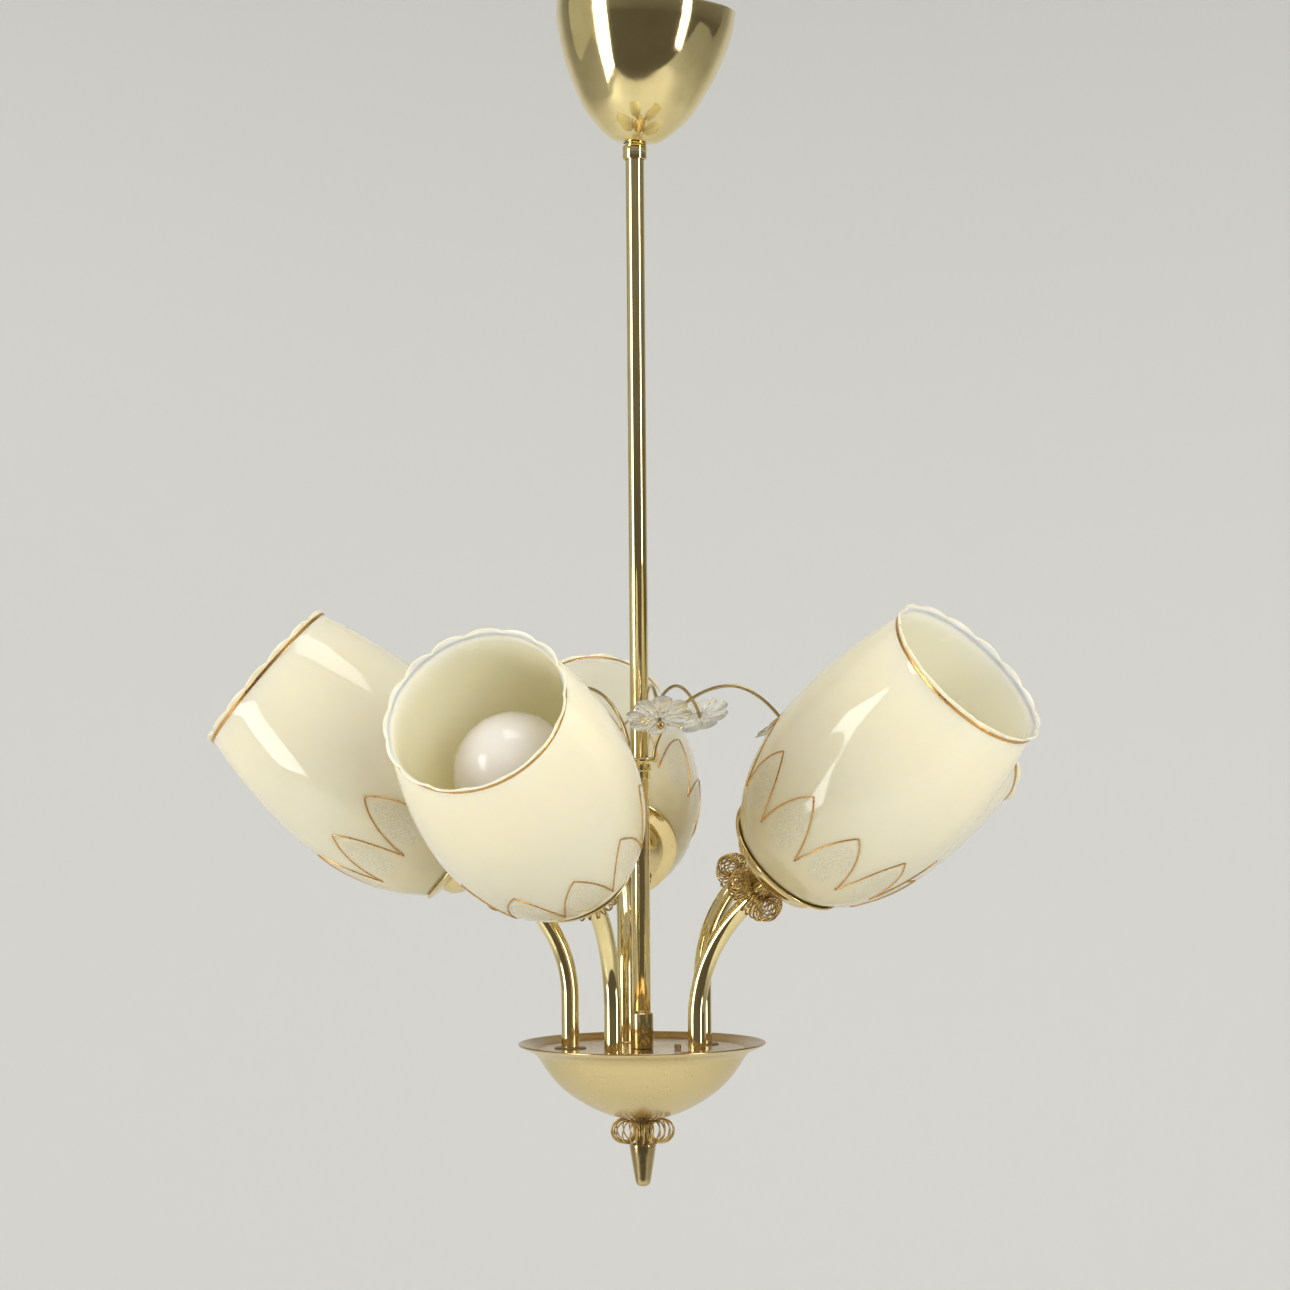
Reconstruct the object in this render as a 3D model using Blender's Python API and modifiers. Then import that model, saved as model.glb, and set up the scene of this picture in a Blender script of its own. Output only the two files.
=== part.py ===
"""Five arm brass chandelier with opal glass tulip shades and a crystal flower spray.

Units are metres, +Z is up. The origin is the point where the hanging loop sits on its ceiling hook,
so the whole lamp is below it. -Y is the front.
"""

import math

import bmesh
import bpy
from mathutils import Matrix, Vector

MM = 0.001

# ---------------------------------------------------------------- driving dimensions, millimetres
RIM_Z = -732.0              # height of the bowl rim, measured from the hanging point
GAP = 0.3                   # working gap between neighbouring pieces

ROD_R = 6.65                # stem tube, outside radius
ROD_WALL = 1.1
ROD_BOTTOM = 8.0            # above the bowl rim
ROD_TOP = 699.0

LOOP_R = 11.0               # hanging loop, to the middle of its wire
LOOP_WIRE = 2.6
LOOP_CENTRE = 723.6

CANOPY_FOOT = 642.6         # lowest point of the canopy, above the bowl rim
CANOPY_TILT_SIDE = 5.3      # degrees that the loose canopy leans to the right
CANOPY_TILT_FRONT = 3.8     # degrees that it leans to the front
CANOPY_WALL = 1.2
CANOPY_PROFILE = [          # radius, height over the foot
    (8.2, 0.0), (17.5, 2.3), (24.5, 8.3), (34.0, 17.4), (44.8, 33.6),
    (53.0, 50.7), (59.1, 67.9), (63.0, 84.0), (64.0, 98.0),
]
CANOPY_LIP = 4.2            # flat lip turned inwards at the canopy's edge
COLLAR_R = 8.65
COLLAR_TOP = 641.2
COLLAR_HEIGHT = 10.0

HUB_TOP = 204.6
HUB_FLANGE_R = 13.3
WIRE_R = 1.25               # crystal spray wires
WIRE_ROOT_R = 10.4          # where a wire stands on the hub flange
FLOWER_R = 23.0
FLOWER_THICK = 3.6
BALL_R = 3.1
# azimuth in degrees, radius and height of the top of the arch, radius and height of the flower
SPRAY = [
    (-82.0, 60.0, 255.0, 101.0, 232.0),
    (-12.0, 66.0, 255.0, 104.0, 229.0),
    (63.0, 60.0, 256.0, 99.0, 233.0),
    (130.0, 62.0, 255.0, 101.0, 231.0),
    (-155.0, 62.0, 254.0, 101.0, 231.0),
]
FLOWER_SLOPE = 55.0         # degrees below level at which a wire enters its flower

SLEEVE_R = 8.2
SLEEVE_BORE = 6.95
SLEEVE_TOP = 22.0
SLEEVE_BOTTOM = -3.1
SCREW_R = 3.0
SCREW_AZIMUTH = -70.0
SCREW_HEIGHTS = (13.3, 2.6)

PLATE_R = 73.4
PLATE_TOP = -3.4
PLATE_THICK = 1.6
HOLE_RING_R = 51.4          # circle of the arm holes
HOLE_FIRST = -41.0          # azimuth of the first arm hole, degrees

BOWL_WALL = 1.2
BOWL_PROFILE = [            # radius, height against the rim plane, down the outside
    (88.1, 0.0), (78.5, -5.0), (73.2, -9.4), (69.9, -14.6),
    (63.0, -24.0), (52.5, -33.8), (38.0, -43.6), (20.0, -51.4), (5.6, -52.4),
]
NIPPLE_R = 5.0
NIPPLE_TOP = 7.5
NIPPLE_BOTTOM = -89.5

BASE_COIL_Z = -62.0         # coil under the bowl
COIL_WIRE = 0.65
FINIAL = [(4.6, -71.4), (9.4, -71.4), (9.4, -73.2), (8.8, -78.0), (7.4, -86.0), (6.0, -94.5), (4.9, -99.6), (3.2, -101.4), (0.0, -101.8)]

TUBE_R = 6.3                # arm tube
TUBE_WALL = 1.0
TUBE_FOOT = -13.0           # lower end of an arm tube, inside the bowl
# Each arm: x, y, z of the middle of the cup's edge against the bowl rim's centre,
# azimuth and elevation of the shade's axis in degrees, bend radius of the tube
ARMS = [
    (103.1, -72.1, 133.7, -34.6, 41.6, 105.0),
    (101.7, 67.0, 132.5, 33.2, 27.0, 86.0),
    (-18.0, 125.9, 133.7, 97.5, 30.7, 98.0),
    (-122.4, -0.6, 139.5, 180.3, 41.0, 96.0),
    (-46.7, -118.6, 133.7, -110.9, 33.1, 105.0),
]
# along the shade's axis, from the cup's edge towards the mouth
TUBE_END = 4.0
COIL_AT = -38.0
CUP_WALL = 0.9
CUP_PROFILE = [             # radius, distance, from the edge down the outside
    (45.6, 0.6), (44.6, -1.6), (38.0, -3.6), (33.6, -4.6), (31.0, -11.0), (21.0, -19.0), (6.65, -23.0),
]
GLASS_WALL = 3.4
GLASS_PROFILE = [           # radius, distance, outside of the glass from floor to mouth
    (27.0, -5.5), (43.0, 0.8), (57.0, 20.0), (67.6, 48.0), (73.4, 88.0),
    (71.8, 124.0), (66.4, 160.0), (60.3, 187.0), (62.2, 194.5),
]
SCALLOPS = 15               # waves round the glass mouth
SCALLOP_DEPTH = 1.6
GLASS_SIDES = 30
BULB_CENTRE = 116.0
BULB_R = 39.8
BULB_WALL = 1.2
BULB_TRAVEL_STOP = 18.0     # foot of the bulb's cap

PI = math.pi


def rad(degrees):
    return degrees * PI / 180.0


# ---------------------------------------------------------------- scene, collections, materials
for old in list(bpy.data.objects):
    bpy.data.objects.remove(old, do_unlink=True)

PARTS = bpy.data.collections.new("Chandelier")
CUTTERS = bpy.data.collections.new("Cutters")
bpy.context.scene.collection.children.link(PARTS)
bpy.context.scene.collection.children.link(CUTTERS)


def material(name, colour, roughness, metallic=0.0, transmission=0.0, ior=1.5):
    made = bpy.data.materials.new(name)
    made.use_nodes = True
    shader = made.node_tree.nodes["Principled BSDF"]
    shader.inputs["Base Color"].default_value = (*colour, 1.0)
    shader.inputs["Roughness"].default_value = roughness
    shader.inputs["Metallic"].default_value = metallic
    shader.inputs["Transmission Weight"].default_value = transmission
    shader.inputs["IOR"].default_value = ior
    made.diffuse_color = (*colour, 1.0)
    return made


BRASS = material("polished_brass", (0.78, 0.58, 0.28), 0.12, 1.0)
SATIN = material("satin_brass", (0.72, 0.56, 0.30), 0.32, 1.0)
DARK = material("aged_brass", (0.30, 0.20, 0.09), 0.35, 1.0)
WIRE = material("wire_brass", (0.62, 0.42, 0.18), 0.25, 1.0)
OPAL = material("cream_opal_glass", (0.86, 0.78, 0.58), 0.08)
BULB = material("opal_bulb_glass", (0.93, 0.91, 0.88), 0.12)
CRYSTAL = material("clear_pressed_glass", (0.95, 0.97, 0.96), 0.03, 0.0, 0.9)
HOLDER = material("lamp_holder_phenolic", (0.06, 0.05, 0.045), 0.4)


# ---------------------------------------------------------------- shape helpers
def add(name, data, look, collection=PARTS):
    made = bpy.data.objects.new(name, data)
    made.data.materials.append(look)
    collection.objects.link(made)
    return made


def smooth(mesh, angle=35.0):
    mesh.shade_smooth()
    mesh.set_sharp_from_angle(angle=rad(angle))


def turned(name, profile, look, steps, closed=False, collection=PARTS):
    """A profile of (radius, height) in millimetres, turned about +Z. It runs down the outer side."""
    mesh = bpy.data.meshes.new(name)
    points = [(r * MM, 0.0, z * MM) for r, z in profile]
    ends = len(points)
    edges = [(i, i + 1) for i in range(ends - 1)]
    if closed:
        edges.append((ends - 1, 0))
    mesh.from_pydata(points, edges, [])
    made = add(name, mesh, look, collection)
    screw = made.modifiers.new("Turn", "SCREW")
    screw.axis = "Z"
    screw.angle = 2 * PI
    screw.steps = steps
    screw.render_steps = steps
    screw.use_merge_vertices = True
    screw.merge_threshold = 0.00002
    screw.use_normal_calculate = False
    screw.use_smooth_shade = True
    return made


def offset(outside, wall, towards=1.0):
    """The same line moved by one wall to its inner side."""
    moved = []
    last = len(outside) - 1
    for i, (r, z) in enumerate(outside):
        a = Vector(outside[max(i - 1, 0)])
        b = Vector(outside[min(i + 1, last)])
        along = (b - a).normalized()
        moved.append((r + along.y * wall * towards, z - along.x * wall * towards))
    return moved


def path_tube(name, points, radius, look, sides, radii=None, cyclic=False, caps=True, collection=PARTS):
    """A round wire or tube along points given in millimetres. sides is 4, 6, 8, 10 or 12."""
    curve = bpy.data.curves.new(name, "CURVE")
    curve.dimensions = "3D"
    curve.bevel_depth = radius * MM
    curve.bevel_resolution = (sides - 4) // 2
    curve.use_fill_caps = caps
    spline = curve.splines.new("POLY")
    spline.points.add(len(points) - 1)
    for i, point in enumerate(points):
        spline.points[i].co = (point[0] * MM, point[1] * MM, point[2] * MM, 1.0)
        spline.points[i].radius = 1.0 if radii is None else radii[i]
        # a POLY spline is shaded smooth along its length
    spline.use_cyclic_u = cyclic
    spline.use_smooth = True
    return add(name, curve, look, collection)


def as_mesh(curve_object):
    """The curve object turned into a mesh object with welded caps."""
    bpy.context.view_layer.update()
    graph = bpy.context.evaluated_depsgraph_get()
    mesh = bpy.data.meshes.new_from_object(curve_object.evaluated_get(graph))
    weld = bmesh.new()
    weld.from_mesh(mesh)
    bmesh.ops.remove_doubles(weld, verts=weld.verts, dist=0.00001)
    bmesh.ops.recalc_face_normals(weld, faces=weld.faces)
    weld.to_mesh(mesh)
    weld.free()
    name = curve_object.name
    place = curve_object.matrix_world.copy()
    collection = curve_object.users_collection[0]
    look = curve_object.data.materials[0]
    bpy.data.objects.remove(curve_object, do_unlink=True)
    made = bpy.data.objects.new(name, mesh)
    made.name = name
    if not mesh.materials:
        mesh.materials.append(look)
    made.matrix_world = place
    collection.objects.link(made)
    smooth(mesh)
    return made


def cylinder(name, radius, low, high, look, sides=24, collection=PARTS):
    """An upright solid cylinder, sizes in millimetres."""
    mesh = bpy.data.meshes.new(name)
    shape = bmesh.new()
    bmesh.ops.create_cone(
        shape, cap_ends=True, segments=sides, radius1=radius * MM, radius2=radius * MM, depth=(high - low) * MM,
        matrix=Matrix.Translation((0, 0, (high + low) / 2 * MM)),
    )
    shape.to_mesh(mesh)
    shape.free()
    smooth(mesh)
    return add(name, mesh, look, collection)


def helper(item):
    item.hide_render = True
    item.display_type = "WIRE"
    return item


def boolean(item, other, operation):
    step = item.modifiers.new(operation.title(), "BOOLEAN")
    step.operation = operation
    step.object = other
    step.solver = "EXACT"


def upright(direction):
    """Rotation that carries +Z onto a direction, with +X kept level."""
    z = Vector(direction).normalized()
    x = Vector((-z.y, z.x, 0.0))
    x = x.normalized() if x.length > 1e-6 else Vector((1.0, 0.0, 0.0))
    y = z.cross(x)
    return Matrix((x, y, z)).transposed().to_4x4()


def empty(name, place, parent=None):
    made = bpy.data.objects.new(name, None)
    made.empty_display_size = 0.02
    PARTS.objects.link(made)
    if parent:
        made.parent = parent
    made.matrix_basis = place
    return made


def hold(item, parent):
    item.parent = parent
    return item


def coil_points(major, radial, axial, loops, per_loop, height=0.0, phase=0.0):
    """Centre line of a spring bent into a ring: loops round a circle of radius major."""
    count = loops * per_loop
    points = []
    for i in range(count):
        turn = 2 * PI * i / count
        loop = 2 * PI * i / per_loop + phase
        r = major + radial * math.cos(loop)
        points.append((r * math.cos(turn), r * math.sin(turn), height + axial * math.sin(loop)))
    return points


# ---------------------------------------------------------------- lamp frame
# bowl_rim_centre carries everything that is measured from the bowl's rim
lamp = empty("bowl_rim_centre", Matrix.Translation((0, 0, RIM_Z * MM)))

# Stem: a straight tube from the coupling sleeve to the hanging loop
stem = turned(
    "stem_rod",
    [(ROD_R, ROD_TOP), (ROD_R, ROD_BOTTOM), (ROD_R - ROD_WALL, ROD_BOTTOM), (ROD_R - ROD_WALL, ROD_TOP)],
    BRASS, 18, closed=True,
)
hold(stem, lamp)

# Hanging loop: a ring on a turned neck that screws on the stem
ring = path_tube(
    "hanging_loop",
    [(LOOP_R * math.cos(2 * PI * i / 20), 0.0, LOOP_CENTRE + LOOP_R * math.sin(2 * PI * i / 20)) for i in range(20)],
    LOOP_WIRE, BRASS, 8, cyclic=True,
)
loop = as_mesh(ring)
neck = helper(turned(
    "hanging_loop_neck",
    [(0.0, LOOP_CENTRE - LOOP_R + 0.4), (3.2, LOOP_CENTRE - LOOP_R + 0.4), (3.6, ROD_TOP + 7.0), (6.4, ROD_TOP + 5.6), (6.4, ROD_TOP + GAP), (0.0, ROD_TOP + GAP)],
    BRASS, 14, collection=CUTTERS,
))
boolean(loop, neck, "UNION")
hold(loop, lamp)
hold(neck, lamp)

# Canopy collar, grips the stem under the canopy
collar = turned(
    "canopy_collar",
    [(COLLAR_R - 0.6, COLLAR_TOP), (COLLAR_R, COLLAR_TOP - 0.8), (COLLAR_R, COLLAR_TOP - COLLAR_HEIGHT + 0.6), (COLLAR_R - 0.5, COLLAR_TOP - COLLAR_HEIGHT),
     (SLEEVE_BORE + 0.1, COLLAR_TOP - COLLAR_HEIGHT), (SLEEVE_BORE + 0.1, COLLAR_TOP)],
    BRASS, 20, closed=True,
)
hold(collar, lamp)

# Canopy: an open cup that leans on its collar, pivot at the middle of its foot
lean = Vector((math.tan(rad(CANOPY_TILT_SIDE)), -math.tan(rad(CANOPY_TILT_FRONT)), 1.0))
side = Vector((lean.x, lean.y, 0.0)).normalized()
angle = lean.angle(Vector((0, 0, 1)))
turn_axis = Vector((-side.y, side.x, 0.0))
canopy_place = empty(
    "canopy_pivot",
    Matrix.Translation((0, 0, CANOPY_FOOT * MM)) @ Matrix.Rotation(angle, 4, turn_axis),
    lamp,
)
outer = list(reversed(CANOPY_PROFILE))
inner = offset(outer, CANOPY_WALL)
top_z = outer[0][1]
inner_line = [(r, z) for r, z in inner[1:-1:2]]
canopy_profile = (
    outer
    + [(CANOPY_PROFILE[0][0], CANOPY_WALL)]
    + list(reversed(inner_line))
    + [(outer[0][0] - CANOPY_WALL, top_z - CANOPY_WALL), (outer[0][0] - CANOPY_LIP, top_z - CANOPY_WALL), (outer[0][0] - CANOPY_LIP, top_z)]
)
canopy = turned("canopy", canopy_profile, BRASS, 28, closed=True)
hold(canopy, canopy_place)

# ---------------------------------------------------------------- crystal spray
hub = turned(
    "wire_hub",
    [(HUB_FLANGE_R - 0.6, HUB_TOP), (HUB_FLANGE_R, HUB_TOP - 0.8), (HUB_FLANGE_R, HUB_TOP - 3.2), (HUB_FLANGE_R - 1.2, HUB_TOP - 4.0), (8.6, HUB_TOP - 4.4),
     (8.6, HUB_TOP - 9.6), (7.5, HUB_TOP - 10.4), (7.5, HUB_TOP - 15.6), (SLEEVE_BORE + 0.05, HUB_TOP - 15.6), (SLEEVE_BORE + 0.05, HUB_TOP)],
    BRASS, 20, closed=True,
)
hold(hub, lamp)


def bezier(p0, p1, p2, p3, t):
    s = 1.0 - t
    return p0 * s ** 3 + p1 * 3 * s * s * t + p2 * 3 * s * t * t + p3 * t ** 3


def flower_mesh():
    """A pressed rosette: eight round petals on a shallow dished disc with a bored middle."""
    bore = WIRE_R + 0.45
    rings = [(bore, 0.0), (0.62, 0.9), (1.0, 2.6)]
    shape = bmesh.new()
    upper, lower = [], []
    for level, (size, rise) in enumerate(rings):
        top_ring, low_ring = [], []
        for i in range(16):
            turn = 2 * PI * i / 16
            petal = 1.0 if i % 2 == 0 else 0.86
            if level == 0:
                r = bore
            else:
                r = FLOWER_R * size * (petal if level == 2 else 1.0)
            thick = FLOWER_THICK * (1.0, 0.8, 0.35)[level]
            x, y = r * math.cos(turn), r * math.sin(turn)
            top_ring.append(shape.verts.new((x * MM, y * MM, (rise + thick / 2) * MM)))
            low_ring.append(shape.verts.new((x * MM, y * MM, (rise - thick / 2) * MM)))
        upper.append(top_ring)
        lower.append(low_ring)
    loops = upper[::-1] + lower
    loops.append(upper[-1])
    for a, b in zip(loops[:-1], loops[1:]):
        for i in range(16):
            j = (i + 1) % 16
            shape.faces.new((a[i], a[j], b[j], b[i]))
    bmesh.ops.recalc_face_normals(shape, faces=shape.faces)
    mesh = bpy.data.meshes.new("crystal_flower")
    shape.to_mesh(mesh)
    shape.free()
    mesh.shade_smooth()
    mesh.set_sharp_from_angle(angle=rad(30))
    return mesh


rosette = flower_mesh()
for number, (azimuth, top_r, top_z_mm, end_r, end_z) in enumerate(SPRAY, 1):
    out = Vector((math.cos(rad(azimuth)), math.sin(rad(azimuth)), 0.0))
    up = Vector((0, 0, 1.0))
    slope = rad(FLOWER_SLOPE)
    heading = out * math.cos(slope) - up * math.sin(slope)
    root = out * WIRE_ROOT_R + up * (HUB_TOP + GAP)
    crown = out * top_r + up * top_z_mm
    flower_at = out * end_r + up * end_z
    line = []
    for i in range(6):
        line.append(bezier(root, root + up * 26.0 + out * 2.0, crown - out * 25.0, crown, i / 5))
    before = flower_at - heading * 3.0
    for i in range(1, 4):
        line.append(bezier(crown, crown + out * 16.0, before - heading * 9.0, before, i / 3))
    radii = [1.0] * len(line)
    # the threaded end carries a ball nut just beyond the rosette
    ball_centre = FLOWER_THICK / 2 + GAP + 0.4 + BALL_R
    for along, scale in (
        (ball_centre - BALL_R, 1.0), (ball_centre - 0.7 * BALL_R, BALL_R * 0.71 / WIRE_R),
        (ball_centre, BALL_R / WIRE_R), (ball_centre + 0.7 * BALL_R, BALL_R * 0.71 / WIRE_R), (ball_centre + BALL_R, 0.2),
    ):
        line.append(flower_at + heading * along)
        radii.append(scale)
    wire = path_tube(f"crystal_wire_{number}", line, WIRE_R, BRASS, 6, radii=radii)
    hold(wire, lamp)
    pin = empty(f"crystal_pin_{number}", Matrix.Translation(flower_at * MM) @ upright(-heading), lamp)
    flower = add(f"crystal_flower_{number}", rosette, CRYSTAL)
    if number > 1:
        rosette.materials.pop()
    hold(flower, pin)

# ---------------------------------------------------------------- coupling sleeve and body
sleeve = turned(
    "coupling_sleeve",
    [(SLEEVE_R - 0.4, SLEEVE_TOP), (SLEEVE_R, SLEEVE_TOP - 0.5), (SLEEVE_R, SLEEVE_BOTTOM), (SLEEVE_BORE, SLEEVE_BOTTOM), (SLEEVE_BORE, SLEEVE_TOP)],
    BRASS, 20, closed=True,
)
screw_way = Vector((math.cos(rad(SCREW_AZIMUTH)), math.sin(rad(SCREW_AZIMUTH)), 0.0))
for name, height, reach in (("set_screw_upper", SCREW_HEIGHTS[0], ROD_R + GAP), ("set_screw_lower", SCREW_HEIGHTS[1], NIPPLE_R + GAP)):
    spot = Matrix.Translation((0, 0, height * MM)) @ upright(screw_way)
    hole = helper(cylinder(name + "_hole", SCREW_R + GAP, 4.0, 12.0, DARK, 14, CUTTERS))
    hole.matrix_basis = spot
    boolean(sleeve, hole, "DIFFERENCE")
    screw = cylinder(name, SCREW_R, reach + 0.05, SLEEVE_R + 0.7, BRASS, 14)
    screw.matrix_basis = spot
    slot_mesh = bpy.data.meshes.new(name + "_slot")
    slot_shape = bmesh.new()
    bmesh.ops.create_cube(slot_shape, size=1.0, matrix=Matrix.Translation((0, 0, (SLEEVE_R + 0.7) * MM)) @ Matrix.Rotation(rad(38), 4, "Z") @ Matrix.Diagonal((0.9 * MM, 8 * MM, 1.8 * MM, 1.0)))
    slot_shape.to_mesh(slot_mesh)
    slot_shape.free()
    slot = helper(add(name + "_slot", slot_mesh, DARK, CUTTERS))
    slot.matrix_basis = spot
    boolean(screw, slot, "DIFFERENCE")
    for item in (hole, screw, slot):
        hold(item, lamp)
hold(sleeve, lamp)

# Cover plate with five arm holes and the middle hole
plate = cylinder("cover_plate", PLATE_R, PLATE_TOP - PLATE_THICK, PLATE_TOP, BRASS, 32)
holes = [(0.0, 0.0, NIPPLE_R + GAP + 0.1)]
feet = []
for k in range(5):
    azimuth = rad(HOLE_FIRST + 72.0 * k)
    foot = Vector((HOLE_RING_R * math.cos(azimuth), HOLE_RING_R * math.sin(azimuth), 0.0))
    feet.append(foot)
    holes.append((foot.x, foot.y, TUBE_R + GAP + 0.15))
PLATE_SCREW = (25.5, -7.0)
PLATE_PIN = (41.8, -13.5)
for k, (x, y, r) in enumerate(holes):
    hole = helper(cylinder(f"plate_hole_{k}", r, -12.0, 4.0, DARK, 12, CUTTERS))
    hole.location = (x * MM, y * MM, 0)
    hold(hole, lamp)
    boolean(plate, hole, "DIFFERENCE")
hold(plate, lamp)
for name, (x, y), r, high in (("plate_screw", PLATE_SCREW, 2.4, 3.0), ("plate_pin", PLATE_PIN, 1.9, 2.2)):
    item = cylinder(name, r, PLATE_TOP + GAP, PLATE_TOP + GAP + high, DARK, 8)
    item.location = (x * MM, y * MM, 0)
    hold(item, lamp)

# Bowl: a spun shell with a broad flared brim
bowl_inner = offset(BOWL_PROFILE, BOWL_WALL)
bowl_inner[0] = (BOWL_PROFILE[0][0] - 0.5, BOWL_PROFILE[0][1] + 0.9)
bowl_inner[-1] = (BOWL_PROFILE[-1][0], BOWL_PROFILE[-1][1] + BOWL_WALL)
bowl_inner = [bowl_inner[k] for k in (0, 1, 3, 4, 6, 7, 8)]
bowl = turned("bowl", BOWL_PROFILE + list(reversed(bowl_inner)), SATIN, 30, closed=True)
hold(bowl, lamp)

nipple = turned(
    "tie_nipple",
    [(NIPPLE_R, NIPPLE_TOP), (NIPPLE_R, NIPPLE_BOTTOM), (NIPPLE_R - 1.0, NIPPLE_BOTTOM), (NIPPLE_R - 1.0, NIPPLE_TOP)],
    DARK, 12, closed=True,
)
hold(nipple, lamp)

base_coil = path_tube("bottom_ruffle", coil_points(14.3, 8.1, 8.2, 12, 5, BASE_COIL_Z), COIL_WIRE, WIRE, 4, cyclic=True)
hold(base_coil, lamp)

BORE = NIPPLE_R + GAP + 0.1
finial = turned("finial", [(0.0, NIPPLE_BOTTOM - GAP), (BORE, NIPPLE_BOTTOM - GAP), (BORE, FINIAL[0][1])] + FINIAL[1:], BRASS, 18)
hold(finial, lamp)


# ---------------------------------------------------------------- arms
def glass_mesh():
    """The opal shade: a tulip barrel shell, its mouth ruffled in waves, its floor bored for the tube."""
    bore = TUBE_R + 0.7
    floor = GLASS_PROFILE[0]
    inner = offset([(bore, floor[1])] + GLASS_PROFILE, -GLASS_WALL)[1:]
    outline = [(bore, floor[1])] + GLASS_PROFILE
    inner[0] = (floor[0] - 1.2, floor[1] + GLASS_WALL)
    inner = [inner[k] for k in (0, 2, 4, 6, 8)]
    back = list(reversed(inner))
    lip = GLASS_PROFILE[-1]
    back[0] = (lip[0] - GLASS_WALL, lip[1] - 0.4)
    line = outline + back + [(bore, floor[1] + GLASS_WALL)]
    shape = bmesh.new()
    rows = []
    for r, u in line:
        row = []
        wave = max(0.0, (u - 184.0) / 10.5)
        for i in range(GLASS_SIDES):
            turn = 2 * PI * i / GLASS_SIDES
            ruffle = math.cos(SCALLOPS * turn)
            rr = r + wave * SCALLOP_DEPTH * 0.6 * ruffle
            uu = u + wave * SCALLOP_DEPTH * ruffle
            row.append(shape.verts.new((rr * math.cos(turn) * MM, rr * math.sin(turn) * MM, uu * MM)))
        rows.append(row)
    rows.append(rows[0])
    for a, b in zip(rows[:-1], rows[1:]):
        for i in range(GLASS_SIDES):
            j = (i + 1) % GLASS_SIDES
            shape.faces.new((a[i], a[j], b[j], b[i]))
    bmesh.ops.recalc_face_normals(shape, faces=shape.faces)
    mesh = bpy.data.meshes.new("glass_shade")
    shape.to_mesh(mesh)
    shape.free()
    smooth(mesh, 50.0)
    mesh.materials.append(OPAL)
    return mesh


shade_glass = glass_mesh()
cup_line = CUP_PROFILE
cup_in = offset(cup_line, CUP_WALL)
cup_in[0] = (cup_line[0][0] - CUP_WALL, cup_line[0][1])
cup_in[-1] = (cup_line[-1][0], cup_line[-1][1] + CUP_WALL)
SOCKET_R = 16.6
SOCKET_BORE = 13.9

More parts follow.
